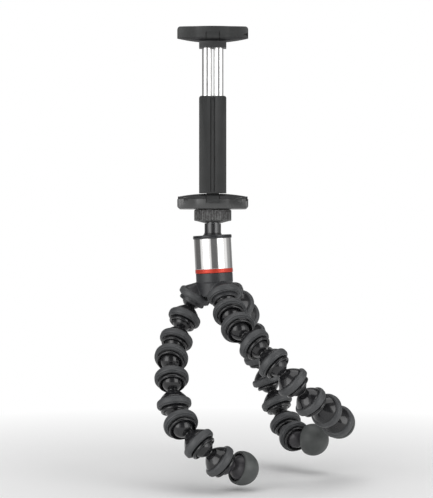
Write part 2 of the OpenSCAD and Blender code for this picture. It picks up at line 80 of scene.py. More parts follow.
class Slot(Enum):
    """The record's material slots."""

    NYLON = "black_nylon"
    LINK = "link_plastic"
    GRIP = "grip_rubber"
    FOOT_RUBBER = "foot_rubber"
    FOOT_PLASTIC = "foot_plastic"
    RED = "red_anodised"
    POLISHED = "polished_steel"
    STEEL = "plain_steel"
    BRASS = "cup_brass"
    BALL = "black_ball"
    CHARCOAL = "charcoal_plastic"
    PAD = "pad_rubber"


# ---------------------------------------------------------------- shader groups and finishes


class Wiring:
    """Adds nodes to one tree and joins them."""

    def __init__(self, tree: NodeTree) -> None:
        """Takes the tree to build in."""
        self.tree = tree

    @classmethod
    def cleared(cls, owner: ID) -> "Wiring":
        """Empties the tree of a material or of a world, to build in it.

        Args:
            owner: The material or the world.
        Returns:
            The wiring of its empty tree.
        """
        owner.use_nodes = True
        owner.node_tree.nodes.clear()
        return cls(owner.node_tree)

    def add(self, kind: str, **settings: object) -> Node:
        """Adds a node.

        Args:
            kind: Blender's name of the node.
            settings: Properties of the node. A key that starts with in_ is an input, by its name or number: a
                socket, or a node's first output, is joined to it, and anything else is its value.
        Returns:
            The node.
        """
        node = self.tree.nodes.new(kind)
        for key, value in settings.items():
            if not key.startswith("in_"):
                setattr(node, key, value)
                continue
            label = key[3:].replace("_", " ")
            target = node.inputs[int(label) if label.isdigit() else label]
            if isinstance(value, Node):
                value = value.outputs[0]
            if isinstance(value, NodeSocket):
                self.tree.links.new(value, target)
            else:
                target.default_value = value
        return node

    def maths(self, operation: str, first: object, second: object = 0.5) -> NodeSocket:
        """Adds a Math node and returns its output; what goes in is nodes, sockets or numbers."""
        return self.add("ShaderNodeMath", operation=operation, in_0=first, in_1=second).outputs[0]

    def mixed(self, share: Node, first: object, second: object) -> NodeSocket:
        """Mixes two colours, which a Mix node takes at its inputs 6 and 7 and gives at its output 2."""
        return self.add("ShaderNodeMix", data_type="RGBA", in_0=share, in_6=first, in_7=second).outputs[2]


class ShaderGroups:
    """Surface effects that several finishes share, each built once."""

    def __init__(self) -> None:
        """Builds every group."""
        self.grain = self._moulded_grain()
        self.wear = self._edge_wear()
        self.handling = self._handling_marks()
        self.turning = self._turning_lines()

    @staticmethod
    def _group(name: str, inputs: dict[str, float],
               outputs: Iterable[str]) -> tuple[Wiring, NodeOutputs, NodeSocket]:
        """Starts a group whose sockets are all floats.

        Args:
            name: Its name.
            inputs: The default of each input.
            outputs: The name of each output.
        Returns:
            Its wiring, what it is given and the object's coordinates.
        """
        tree = bpy.data.node_groups.new(name, "ShaderNodeTree")
        add = tree.interface.new_socket
        for label, value in inputs.items():
            add(label, in_out="INPUT", socket_type="NodeSocketFloat").default_value = value
        for label in outputs:
            add(label, in_out="OUTPUT", socket_type="NodeSocketFloat")
        w = Wiring(tree)
        return w, w.add("NodeGroupInput").outputs, w.add("ShaderNodeTexCoord").outputs["Object"]

    def _moulded_grain(self) -> NodeTree:
        """Spark-eroded mould texture: a fine height and a slow mottle.

        Returns:
            The group.
        """
        w, given, place = self._group("moulded grain", {"Scale": 5000.0, "Mottle scale": 220.0},
                                      ("Height", "Mottle"))
        fine = w.add("ShaderNodeTexNoise", in_Vector=place, in_Scale=given["Scale"], in_Detail=3.0,
                     in_Roughness=0.6)
        slow = w.add("ShaderNodeTexNoise", in_Vector=place, in_Scale=given["Mottle scale"], in_Detail=2.0)
        w.add("NodeGroupOutput", in_Height=fine.outputs["Fac"], in_Mottle=slow.outputs["Fac"])
        return w.tree

    def _edge_wear(self) -> NodeTree:
        """A mask that is 1 on rubbed outer edges, broken up by noise.

        Returns:
            The group.
        """
        w, given, place = self._group("edge wear", {"Start": 0.54, "End": 0.6, "Break up": 900.0}, ("Mask",))
        edge = w.add("ShaderNodeMapRange", in_Value=w.add("ShaderNodeNewGeometry").outputs["Pointiness"],
                     in_From_Min=given["Start"], in_From_Max=given["End"])
        noise = w.add("ShaderNodeTexNoise", in_Vector=place, in_Scale=given["Break up"], in_Detail=4.0)
        broken = w.add("ShaderNodeMapRange", in_Value=noise, in_From_Min=RUBBED_FROM,
                       in_From_Max=RUBBED_TO)
        w.add("NodeGroupOutput", in_Mask=w.maths("MULTIPLY", edge, broken))
        return w.tree

    def _handling_marks(self) -> NodeTree:
        """Roughness that drifts where hands have polished or dulled a surface.

        Returns:
            The group.
        """
        w, given, place = self._group("handling marks", {"Roughness": 0.4, "Spread": 0.1, "Scale": 90.0},
                                      ("Roughness",))
        noise = w.add("ShaderNodeTexNoise", in_Vector=place, in_Scale=given["Scale"], in_Detail=5.0,
                      in_Distortion=0.6)
        drift = w.maths("MULTIPLY", w.maths("SUBTRACT", noise.outputs["Fac"], 0.5), given["Spread"])
        w.add("NodeGroupOutput", in_Roughness=w.maths("ADD", drift, given["Roughness"]))
        return w.tree

    def _turning_lines(self) -> NodeTree:
        """Fine lines round an upright turned part, as a height.

        Returns:
            The group.
        """
        w, given, place = self._group("turning lines", {"Lines per metre": 9000.0}, ("Height",))
        height = w.add("ShaderNodeSeparateXYZ", in_0=place).outputs["Z"]
        noise = w.add("ShaderNodeTexNoise", noise_dimensions="1D", in_Detail=3.0,
                      in_W=w.maths("MULTIPLY", height, given["Lines per metre"]))
        w.add("NodeGroupOutput", in_Height=noise.outputs["Fac"])
        return w.tree


@dataclass(frozen=True)
class Finish:
    """A surface finish: its colours, gloss, grain and wear."""

    name: str
    slot: Slot
    colour: Colour
    colour_b: Colour
    roughness: float
    roughness_spread: float = 0.08
    metallic: float = 0.0
    coat: float = 0.0
    coat_roughness: float = 0.08
    specular: float = 0.5
    grain_scale: float = 5000.0
    grain_depth: float = 0.02
    worn: Colour | None = None
    worn_from: float = 0.54
    turned: bool = False

    def material(self, groups: ShaderGroups) -> Material:
        """Builds the material.

        Args:
            groups: The shared effects.
        Returns:
            The material, named for the finish.
        """
        made = bpy.data.materials.new(self.name)
        made.diffuse_color = (*self.colour, 1.0)
        w = Wiring.cleared(made)
        grain = w.add("ShaderNodeGroup", node_tree=groups.grain, in_Scale=self.grain_scale)
        marks = w.add("ShaderNodeGroup", node_tree=groups.handling, in_Roughness=self.roughness,
                      in_Spread=self.roughness_spread)
        spread = w.add("ShaderNodeMapRange", in_Value=grain.outputs["Mottle"], in_From_Min=MOTTLE_FROM,
                       in_From_Max=MOTTLE_TO)
        colour = w.mixed(spread, (*self.colour, 1.0), (*self.colour_b, 1.0))
        if self.worn is not None:
            wear = w.add("ShaderNodeGroup", node_tree=groups.wear, in_Start=self.worn_from,
                         in_End=self.worn_from + WEAR_WIDTH)
            colour = w.mixed(wear, colour, (*self.worn, 1.0))
        relief = w.add("ShaderNodeGroup", node_tree=groups.turning) if self.turned else grain
        bump = w.add("ShaderNodeBump", in_Strength=1.0, in_Distance=self.grain_depth * MM,
                     in_Height=relief.outputs["Height"])
        shader = w.add("ShaderNodeBsdfPrincipled", in_Base_Color=colour, in_Roughness=marks,
                       in_Metallic=self.metallic, in_Specular_IOR_Level=self.specular,
                       in_Coat_Weight=self.coat, in_Coat_Roughness=self.coat_roughness, in_Normal=bump)
        w.add("ShaderNodeOutputMaterial", in_Surface=shader)
        return made


NYLON = Finish("black nylon", Slot.NYLON, (0.030, 0.031, 0.034), (0.040, 0.041, 0.044), 0.34, 0.10,
               grain_depth=0.012, worn=(0.09, 0.09, 0.095))
LINK = Finish("polished link nylon", Slot.LINK, (0.012, 0.012, 0.013), (0.018, 0.018, 0.020), 0.17, 0.08,
              coat=0.4, coat_roughness=0.05, specular=0.4, grain_depth=0.002, worn=(0.06, 0.06, 0.065))
RING = Finish("grip ring rubber", Slot.GRIP, (0.060, 0.062, 0.065), (0.074, 0.076, 0.079), 0.46, 0.12,
              grain_scale=4200.0, grain_depth=0.016, worn=(0.13, 0.13, 0.135), worn_from=0.55)
FOOT_CAP = Finish("foot rubber", Slot.FOOT_RUBBER, (0.072, 0.077, 0.075), (0.088, 0.093, 0.091), 0.50, 0.12,
                  grain_scale=3800.0, grain_depth=0.018)
FOOT_DISH = Finish("foot dish nylon", Slot.FOOT_PLASTIC, (0.042, 0.040, 0.044), (0.052, 0.049, 0.054), 0.30,
                   0.10, grain_depth=0.006)
RED = Finish("red anodising", Slot.RED, (0.60, 0.045, 0.022), (0.66, 0.055, 0.028), 0.34, 0.08, metallic=0.35,
             grain_depth=0.004, worn=(0.75, 0.30, 0.26), worn_from=0.56)
CHROME = Finish("polished sleeve steel", Slot.POLISHED, (0.80, 0.79, 0.78), (0.84, 0.83, 0.82), 0.10, 0.05,
                metallic=1.0, grain_depth=0.0006, turned=True)
TUBE = Finish("satin tube steel", Slot.POLISHED, (0.80, 0.80, 0.79), (0.85, 0.85, 0.84), 0.30, 0.05,
              metallic=1.0, grain_scale=2500.0, grain_depth=0.0008)
STEEL = Finish("ground steel", Slot.STEEL, (0.50, 0.50, 0.51), (0.58, 0.58, 0.59), 0.32, 0.12, metallic=1.0,
               grain_depth=0.004)
BRASS = Finish("turned brass", Slot.BRASS, (0.60, 0.44, 0.17), (0.66, 0.49, 0.20), 0.30, 0.10, metallic=1.0,
               grain_depth=0.003)
STEM = Finish("black anodised stem", Slot.BALL, (0.026, 0.025, 0.027), (0.034, 0.033, 0.035), 0.20, 0.08,
              coat=0.8, coat_roughness=0.12, grain_depth=0.002)
CHARCOAL = Finish("charcoal clamp plastic", Slot.CHARCOAL, (0.031, 0.032, 0.032), (0.035, 0.036, 0.036), 0.42,
                  0.10, grain_scale=7000.0, grain_depth=0.006)
# A lit copy of the charcoal clamp plastic, for the bottom jaw only: painted a touch lighter and made
# glossier, so that it shows highlights that the top jaw, of the same plastic, does not show in its matte
# copy.
BOTTOM_JAW_LIT_COPY = Finish("charcoal plastic lit copy", Slot.CHARCOAL, (0.033, 0.034, 0.034), (0.037, 0.038, 0.038), 0.30, 0.05,
             specular=0.9, coat=0.3, coat_roughness=0.26, grain_scale=7000.0, grain_depth=0.002)
WHEEL = Finish("lock wheel plastic", Slot.CHARCOAL, (0.055, 0.054, 0.054), (0.072, 0.071, 0.070), 0.44, 0.12,
               grain_depth=0.014, worn=(0.16, 0.16, 0.16), worn_from=0.53)
PAD = Finish("soft pad rubber", Slot.PAD, (0.020, 0.020, 0.021), (0.025, 0.025, 0.026), 0.60, 0.12,
             grain_scale=6000.0, grain_depth=0.006)
PIN = Finish("blackened pin steel", Slot.STEEL, (0.035, 0.034, 0.033), (0.05, 0.049, 0.047), 0.38, 0.12,
             metallic=0.6, grain_depth=0.004)


class Palette:
    """Every finish's material, built on first use."""

    def __init__(self) -> None:
        """Builds the shared groups."""
        self._groups = ShaderGroups()
        self._made: dict[str, Material] = {}

    def of(self, finish: Finish) -> Material:
        """Returns the material of a finish.

        Args:
            finish: The finish.
        Returns:
            Its material, built when it is first asked for.
        """
        if finish.name not in self._made:
            self._made[finish.name] = finish.material(self._groups)
        return self._made[finish.name]


# ---------------------------------------------------------------- outlines and mesh work


def arc(centre: Point, radius: float, start: float, end: float, steps: int) -> list[Point]:
    """Points of an arc.

    Args:
        centre: Its middle, as radius and height.
        radius: Its radius.
        start: First angle in degrees; 0 points outwards and 90 up.
        end: Last angle.
        steps: How many stretches it has.
    Returns:
        The points from start to end.
    """
    angles = (math.radians(start + (end - start) * i / steps) for i in range(steps + 1))
    return [(centre[0] + radius * math.cos(a), centre[1] + radius * math.sin(a)) for a in angles]


def turn_to(place: Vector, heading: Vector) -> Matrix:
    """The matrix that sets a form's own +Z along a heading, with its zero at a place."""
    return Matrix.Translation(place) @ heading.to_track_quat("Z", "Y").to_matrix().to_4x4()


def mirrored(x: float, y: float, z: float) -> list[Vector]:
    """A place given in mm and its twin on the other side of the middle, in metres."""
    return [Vector((side * x * MM, y * MM, z * MM)) for side in (-1, 1)]


def placed(name: str, data: ID) -> Object:
    """Puts an object in the scene.

    Args:
        name: The object's name.
        data: The mesh, lamp or camera that it shows.
    Returns:
        The object.
    """
    made = bpy.data.objects.new(name, data)
    bpy.context.scene.collection.objects.link(made)
    return made


def dressed(name: str, mesh: Mesh, body: str, finish: Finish, *nodes: str) -> Object:
    """Makes a finished piece of a mesh.

    Args:
        name: The piece's name.
        mesh: Its mesh, in the row frame.
        body: The body that it rides on.
        finish: The piece's finish; not used.
        nodes: The nodes that it stands for.
    Returns:
        The piece.
    """
    mesh.name = name
    piece = placed(name, mesh)
    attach(piece, body)
    if nodes:
        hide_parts(*nodes)
    LOG.info("%s: %d faces on %s", name, len(mesh.polygons), body)
    return piece


def covered(mesh: Mesh, material: Material) -> Mesh:
    """Makes a material the only one of a mesh.

    Args:
        mesh: The mesh.
        material: Its new material.
    Returns:
        The same mesh.
    """
    mesh.materials.clear()
    mesh.materials.append(material)
    return mesh


def plain_mesh(name: str, verts: Sequence, edges: Sequence = (), faces: Sequence = ()) -> Mesh:
    """A mesh of plain lists.

    Args:
        name: Its name.
        verts: The places, in metres.
        edges: Pairs of places, by number.
        faces: Rings of places, by number.
    Returns:
        The mesh.
    """
    made = bpy.data.meshes.new(name)
    made.from_pydata(verts, edges, faces)
    return made


def released(work: bmesh.types.BMesh, name: str) -> Mesh:
    """Turns what was worked on into a mesh.

    Args:
        work: What was worked on; it is freed.
        name: The mesh's name.
    Returns:
        The mesh.
    """
    made = bpy.data.meshes.new(name)
    work.to_mesh(made)
    work.free()
    return made


def evaluated(mesh: Mesh, modifiers: Sequence[tuple[str, str, dict[str, object]]]) -> Mesh:
    """Runs modifiers over a mesh.

    Args:
        mesh: The mesh to start from.
        modifiers: The name, kind and settings of each.
    Returns:
        The plain mesh that comes out.
    """
    carrier = placed("carrier", mesh)
    for name, kind, settings in modifiers:
        added = carrier.modifiers.new(name, kind)
        for key, value in settings.items():
            if kind == "NODES" and key != "node_group":
                added[added.node_group.interface.items_tree[key].identifier] = value
            else:
                setattr(added, key, value)
    done = bpy.data.meshes.new_from_object(carrier.evaluated_get(bpy.context.evaluated_depsgraph_get()))
    bpy.data.objects.remove(carrier)
    for empty in reversed([i for i, material in enumerate(done.materials) if material is None]):
        done.materials.pop(index=empty)
    return done


def cut_away(mesh: Mesh, cutters: Sequence[Mesh]) -> Mesh:
    """Cuts closed forms out of a mesh.

    Args:
        mesh: The mesh to cut.
        cutters: What is taken away.
    Returns:
        What is left.
    """
    blades = [placed("blade", cutter) for cutter in cutters]
    cut = {"operation": "DIFFERENCE", "solver": "EXACT"}
    left = evaluated(mesh, [("cut", "BOOLEAN", {**cut, "object": blade}) for blade in blades])
    for blade in blades:
        bpy.data.objects.remove(blade)
    return left


def joined(meshes: Sequence[Mesh]) -> Mesh:
    """Joins meshes with the same materials into one.

    Args:
        meshes: The meshes, whose materials are those of the first.
    Returns:
        The whole.
    """
    work = bmesh.new()
    for mesh in meshes:
        work.from_mesh(mesh)
    whole = released(work, "joined")
    for material in meshes[0].materials:
        whole.materials.append(material)
    return whole


def box(size: Place, middle: Sequence[float] = (0, 0, 0)) -> Mesh:
    """A box.

    Args:
        size: Its width, depth and height in mm.
        middle: Its middle in metres.
    Returns:
        The box.
    """
    work = bmesh.new()
    shape = Matrix.Diagonal((*[s * MM for s in size], 1.0))
    bmesh.ops.create_cube(work, size=1.0, matrix=Matrix.Translation(middle) @ shape)
    return released(work, "box")


def welded_copy(node: str) -> Mesh:
    """A copy of a node's mesh with its loose triangles joined and flat faces made whole.

    Args:
        node: The node to copy.
    Returns:
        The copy.
    """
    work = bmesh.new()
    work.from_mesh(frame["nodes"][node].data)
    bmesh.ops.remove_doubles(work, verts=work.verts, dist=WELD)
    bmesh.ops.dissolve_limit(work, angle_limit=FLAT, verts=work.verts, edges=work.edges)
    return released(work, node)


def coated(node: str, material: Material) -> None:
    """Gives a node that stays as it is its material."""
    covered(frame["nodes"][node].data, material)


@dataclass(frozen=True)
class Crown:
    """The swell of a jaw's near face. Sizes in mm.

    Its top and bottom bow back by drop. Beside the middle it hollows by bow: most at bow_reach, not at all
    from bow_end on. All of it dies out over depth behind the near face. Its cross lines stand grid apart.
    """

    middle: float
    half_height: float
    near: float = -12.0
    drop: float = 0.7
    depth: float = 3.0
    bow: float = 0.62
    bow_reach: float = 8.0
    bow_end: float = 16.5
    grid: float = 0.6

    def push(self, x: float, y: float, z: float) -> float:
        """How far a point of the jaw moves back, in mm.

        Args:
            x: The point's place across the jaw, in mm.
            y: Its place from front to back.
            z: Its height.
        Returns:
            The distance in mm.
        """
        fade = max(0.0, 1.0 - max(0.0, y - self.near) / self.depth)
        rise = min(1.0, abs(z - self.middle) / self.half_height)
        out = abs(x)
        if out < self.bow_reach:
            side = (out / self.bow_reach) ** 2
        else:
            past = min(1.0, (out - self.bow_reach) / (self.bow_end - self.bow_reach))
            side = 0.5 + 0.5 * math.cos(math.pi * past)
        return fade * (self.drop * rise * rise + self.bow * side)

    def apply(self, mesh: Mesh) -> None:
        """Lays a grid over the near side of a mesh and bows it.

        Args:
            mesh: The mesh, which is changed in place.
        """
        work = bmesh.new()
        work.from_mesh(mesh)
        low, high = (end(v.co.z for v in work.verts) / MM for end in (min, max))
        rows, columns = int((high - low) / self.grid), int(2 * self.bow_end)
        lines = [(Vector((0, 0, 1)), low + i * self.grid) for i in range(1, rows + 1)]
        lines += [(Vector((1, 0, 0)), i - self.bow_end) for i in range(columns + 1)]
        for normal, reach in lines:
            near = [f for f in work.faces if min(v.co.y for v in f.verts) < (self.near + self.depth) * MM]
            parts = {*near, *(e for f in near for e in f.edges), *(v for f in near for v in f.verts)}
            bmesh.ops.bisect_plane(work, geom=list(parts), plane_co=normal * reach * MM, plane_no=normal,
                                   dist=TINY)
        for v in work.verts:
            v.co.y += self.push(v.co.x / MM, v.co.y / MM, v.co.z / MM) * MM
        work.to_mesh(mesh)
        work.free()


def softened_copy(node: str, material: Material, width: float, crown: Crown | None = None,
                  cuts: Sequence[Mesh] = ()) -> Mesh:
    """A copy of a node with its edges rounded as a moulding's are.

    Args:
        node: The node to copy.
        material: Its material.
        width: Width of the rounding in mm.
        crown: The swell of its near face, if it has one.
        cuts: What is cut from it before its edges are rounded.
    Returns:
        The rounded mesh.
    """
    start = welded_copy(node)
    if cuts:
        start = cut_away(start, cuts)
    if crown is not None:
        crown.apply(start)
    mesh = evaluated(start, [
        ("rounding", "BEVEL", {"width": width * MM, "segments": 2, "limit_method": "ANGLE",
                               "angle_limit": ROUNDED_FROM, "use_clamp_overlap": True}),
        ("even shading", "WEIGHTED_NORMAL", {"keep_sharp": True, "weight": 80}),
    ])
    mesh.shade_smooth()
    mesh.set_sharp_from_angle(angle=SHARP_MOULDED)
    return covered(mesh, material)


class Forms:
    """Geometry node trees for what is turned, repeated or wound, each built once."""

    def __init__(self) -> None:
        """Builds every tree."""
        self.turned = self._turned_form()
        self.knurl = self._knurl()
        self.coil = self._coil_spring()
        self.set_out = self._set_out()

    @staticmethod
    def _tree(name: str, *sockets: tuple[str, str, object]) -> tuple[Wiring, NodeOutputs]:
        """Makes a geometry tree, which takes its geometry first and its finish last.

        Args:
            name: Its name.
            sockets: Label, kind and default of each input between them.
        Returns:
            Its wiring and what it is given.
        """
        tree = bpy.data.node_groups.new(name, "GeometryNodeTree")
        tree.interface.new_socket("Geometry", in_out="INPUT", socket_type="NodeSocketGeometry")
        tree.interface.new_socket("Form", in_out="OUTPUT", socket_type="NodeSocketGeometry")
        for label, kind, value in (*sockets, ("Finish", "Material", None)):
            made = tree.interface.new_socket(label, in_out="INPUT", socket_type="NodeSocket" + kind)
            if value is not None:
                made.default_value = value
        w = Wiring(tree)
        return w, w.add("NodeGroupInput").outputs

    @staticmethod
    def _finished(w: Wiring, last: Node, given: NodeOutputs) -> NodeTree:
        """Ends a tree after its last node: realises the form, shades it and sets its material.

        Args:
            w: The tree's wiring.
            last: The node whose form comes out.
            given: What the tree is given.
        Returns:
            The tree.
        """
        real = w.add("GeometryNodeRealizeInstances", in_0=last)
        shade = w.add("GeometryNodeSetShadeSmooth", in_0=real)
        coat = w.add("GeometryNodeSetMaterial", in_Geometry=shade, in_Material=given["Finish"])
        w.add("NodeGroupOutput", in_0=coat)
        return w.tree

    def _turned_form(self) -> NodeTree:
        """Sweeps an outline round its own Z axis; the outline is drawn as radius and minus height.

        Returns:
            The tree.
        """
        w, given = self._tree("turned form", ("Steps round", "Int", 48), ("Merge", "Float", 0.002 * MM))
        outline = w.add("GeometryNodeMeshToCurve", in_0=given["Geometry"])
        axis = w.add("GeometryNodeCurvePrimitiveCircle", in_Radius=TINY, in_Resolution=given["Steps round"])
        sweep = w.add("GeometryNodeCurveToMesh", in_Curve=axis, in_Profile_Curve=outline)
        weld = w.add("GeometryNodeMergeByDistance", in_Geometry=sweep, in_Distance=given["Merge"])
        return self._finished(w, weld, given)

    def _knurl(self) -> NodeTree:
        """Stands a ridge, the input geometry, at even steps round the Z axis.

        Returns:
            The tree.
        """
        w, given = self._tree("knurl", ("Ridges", "Int", 44), ("Radius", "Float", 8.7 * MM))
        line = w.add("GeometryNodeMeshCircle", in_Vertices=given["Ridges"], in_Radius=given["Radius"])
        share = w.maths("DIVIDE", math.tau, given["Ridges"])
        angle = w.maths("MULTIPLY", w.add("GeometryNodeInputIndex"), share)
        stand = w.add("GeometryNodeInstanceOnPoints", in_Points=line, in_Instance=given["Geometry"],
                      in_Rotation=w.add("ShaderNodeCombineXYZ", in_Z=angle))
        return self._finished(w, stand, given)

    def _coil_spring(self) -> NodeTree:
        """Winds a wire up the Z axis at each of the input's points.

        Returns:
            The tree.
        """
        w, given = self._tree("coil spring", ("Turns", "Float", 60.0), ("Coil radius", "Float", 1.25 * MM),
                              ("Wire radius", "Float", 0.2 * MM), ("Length", "Float", 0.07))
        helix = w.add("GeometryNodeCurveSpiral", in_Resolution=10, in_Rotations=given["Turns"],
                      in_Start_Radius=given["Coil radius"], in_End_Radius=given["Coil radius"],
                      in_Height=given["Length"])
        wire = w.add("GeometryNodeCurvePrimitiveCircle", in_Resolution=6, in_Radius=given["Wire radius"])
        sweep = w.add("GeometryNodeCurveToMesh", in_Fill_Caps=True, in_Curve=helix, in_Profile_Curve=wire)
        stand = w.add("GeometryNodeInstanceOnPoints", in_Points=given["Geometry"], in_Instance=sweep)
        return self._finished(w, stand, given)

    def _set_out(self) -> NodeTree:
        """Puts one part, taken from an object, at each of the input's points.

        Returns:
            The tree.
        """
        w, given = self._tree("set out", ("Part", "Object", None))
        part = w.add("GeometryNodeObjectInfo", in_Object=given["Part"])
        stand = w.add("GeometryNodeInstanceOnPoints", in_Points=given["Geometry"],
                      in_Instance=part.outputs["Geometry"])
        return self._finished(w, stand, given)

    def turn(self, outline: Sequence[Point], material: Material, place: Matrix, steps: int = 48,
             loop: bool = False) -> Mesh:
        """Turns an outline into a mesh.

        Args:
            outline: Radius and height of its points in mm, from the top down the outside.
            material: Its material.
            place: Where it goes.
            steps: Faces round it.
            loop: True for an outline that closes on itself, False for one that ends on the axis.
        Returns:
            The mesh in the row frame.
        """
        points = [(r * MM, -z * MM, 0.0) for r, z in outline]
        edges = [(i, i + 1) for i in range(len(points) - 1)] + ([(len(points) - 1, 0)] if loop else [])
        mesh = evaluated(plain_mesh("outline", points, edges), [
            ("turning", "NODES", {"node_group": self.turned, "Steps round": steps, "Finish": material})])
        mesh.transform(place)
        mesh.set_sharp_from_angle(angle=SHARP_TURNED)
        return mesh

    @staticmethod
    def at(places: Sequence[Vector], name: str, tree: NodeTree, **settings: object) -> Mesh:
        """Runs a tree over loose points.

        Args:
            places: The points, in metres.
            name: The step's name.
            tree: The tree.
            settings: The tree's inputs, with underscores for spaces.
        Returns:
            The mesh that comes out.
        """
        named = {key.replace("_", " "): value for key, value in settings.items()}
        points = plain_mesh("places", [tuple(p) for p in places])
        return evaluated(points, [(name, "NODES", {"node_group": tree, **named})])


# ---------------------------------------------------------------- the tripod's own parts


RING_GROOVE = {4: 0.16, 5: 0.3, 6: 0.16}  # mm that these points of a ring's crown are sunk


@dataclass
class LegSet:
    """Three legs of ball-and-socket links with rubber rings, and their feet. Sizes in mm."""

    palette: Palette
    forms: Forms
    pitch: float = 12.9
    ball_r: float = 5.0
    neck_r: float = 2.4
    neck_top: float = 4.7
    socket_r: float = 5.05
    mouth_h: float = 1.2
    throat: Point = (5.4, 1.75)
    brim_r: float = 5.68
    seat_r: float = 6.3
    flange_r: float = 6.6
    ring_r: float = 8.0
    ring_w: float = 3.8
    ring_round: float = 1.4
    ring_soft: float = 0.1
    lip_r: float = 6.4
    lip_h: float = 2.1
    lip_heel: float = 1.15
    lip_round: float = 0.7
    lip_step: float = 0.45
    cone_bulge: float = 0.3
    foot_r: float = 7.8
    foot_reach: float = 10.3
    foot_wall: float = 1.9
    foot_rim: float = 2.7
    foot_shelf: float = 0.95
    foot_soft: float = 0.22
    dish_r: float = 6.3
    dish_band: float = 0.5
    foot_steps: int = 64
    links: range = range(2, 10)
    foot_headings: dict[Leg, tuple[float, float]] = field(
        default_factory=lambda: {Leg.LEFT: (30, 15), Leg.RIGHT: (85, 5), Leg.REAR: (-40, 0)})

    def ball_places(self, leg: Leg) -> list[Vector]:
        """The middles of a leg's balls, from the hub outwards, in metres."""
        joints = {j["name"]: Vector(j["pos_m"]) for j in frame["joints"] if "pos_m" in j}
        return [joints[f"{leg.value}_bend_{n}"] for n in [*self.links, "foot"]]

    def foot_heading(self, leg: Leg) -> Vector:
        """The direction in which a foot points."""
        turn, dip = (math.radians(a) for a in self.foot_headings[leg])
        return Vector((math.cos(dip) * math.cos(turn), math.cos(dip) * math.sin(turn), -math.sin(dip)))

    def cone_to_ball(self, top: Point) -> list[Point]:
        """The outline from a point down a slightly domed cone and the neck, and round the ball.

        Args:
            top: The cone's upper edge, as radius and height.
        Returns:
            The outline, which ends on the axis.
        """
        drop, steps = top[0] - self.neck_r, 8
        points = []
        for i in range(steps + 1):
            t = i / steps
            swell = self.cone_bulge * math.sin(math.pi * t) / math.sqrt(2)
            points.append((top[0] - drop * t + swell, top[1] - drop * t - swell))
        waist = math.degrees(math.acos(self.neck_r / self.ball_r))
        return points + [(self.neck_r, self.neck_top)] + arc((0, 0), self.ball_r, waist, -90, 22)

    def socket_outline(self, c: float) -> list[Point]:
        """The outline of a socket: its cup, mouth, lip, seat and flange.

        Args:
            c: Height of the socket's middle.
        Returns:
            The outline, from the bottom of the cup to the flange.
        """
        cup = arc((0, c), self.socket_r, -90, math.degrees(math.asin(self.mouth_h / self.socket_r)), 12)
        brim, edge = c + self.lip_h, self.lip_r - self.lip_round
        lip = arc((edge, brim - self.lip_round), self.lip_round, 78, 0, 5)
        heel = arc((edge, c + self.lip_heel), self.lip_round, 0, -60, 4)
        waist, seat, foot = self.lip_r - self.lip_step, self.seat_r - EASE, c - self.ring_w
        return cup + [(self.throat[0], c + self.throat[1]), (self.brim_r, brim - 0.06)] + lip + heel + [
            (waist, c + 0.35), (waist, c - 0.2), (seat, c - 0.4), (seat, foot + 0.1),
            (self.flange_r - 0.15, foot + 0.02), (self.flange_r, foot - 0.12)]

    def link_outline(self) -> list[Point]:
        """The whole outline of a link's moulding, from inside its cup to the far side of its ball."""
        cone = self.cone_to_ball((self.flange_r, self.pitch - self.ring_w - 0.2))
        return self.socket_outline(self.pitch) + cone

    def ring_outline(self, c: float) -> list[Point]:
        """The outline of a rubber ring on a socket, with a shallow groove in its crown.

        Args:
            c: Height of the socket's middle.
        Returns:
            The outline, which closes on itself.
        """
        low, high = c - self.ring_w + EASE, c + EASE
        bore, crown, soft = self.seat_r + 0.02, self.ring_r - self.ring_round, self.ring_round
        top = []
        for i, (r, z) in enumerate(arc((crown, high - soft), soft, 90, 0, 12)):
            share = 1 - RING_GROOVE.get(i, 0) / soft
            top.append((crown + (r - crown) * share, high - soft + (z - high + soft) * share))
        return [(bore, high - 0.12), (bore + self.ring_soft, high)] + top + arc(
            (crown, low + soft), soft, 0, -90, 8) + [(bore + self.ring_soft, low), (bore, low + 0.12)]

    def foot_core_outline(self) -> list[Point]:
        """The outline of a foot's core: a dome inside the cap, the dish's band, the cone and the ball.

        Returns:
            The outline, from the top of the dome to the far side of the ball.
        """
        face = self.pitch - self.ring_w - (self.flange_r - self.dish_r)
        band, edge, bevel = face + self.dish_band, self.dish_r, 0.1
        inner = self.foot_r - self.foot_wall - EASE
        start = math.degrees(math.asin((band - self.foot_reach) / inner))
        dome = arc((0, self.foot_reach), inner, 90, start, 10)
        return dome + [(edge - bevel, band), (edge, band - bevel), (edge, face + bevel),
                       (edge - bevel, face)] + self.cone_to_ball((edge - 0.15, face - bevel))

    def foot_cap_outline(self) -> list[Point]:
        """The outline of a foot's rubber cap, outside and inside.

        Returns:
            The outline, from the outside of its top to the inside.
        """
        c, rim, bore = self.foot_reach, self.foot_reach - self.foot_rim, self.dish_r + EASE
        edge = math.sqrt(self.foot_r ** 2 - self.foot_rim ** 2)
        inner = self.foot_r - self.foot_wall
        low = math.degrees(math.asin((self.foot_soft - self.foot_rim) / self.foot_r))
        start = math.degrees(math.asin(-self.foot_shelf / inner))
        return arc((0, c), self.foot_r, 90, low, 26) + [
            (edge - 0.06, rim + 0.04), (edge - self.foot_soft, rim), (bore + 0.2, rim),
            (bore + 0.01, rim + 0.14), (bore, c - self.foot_shelf)] + arc((0, c), inner, start, 90, 10)

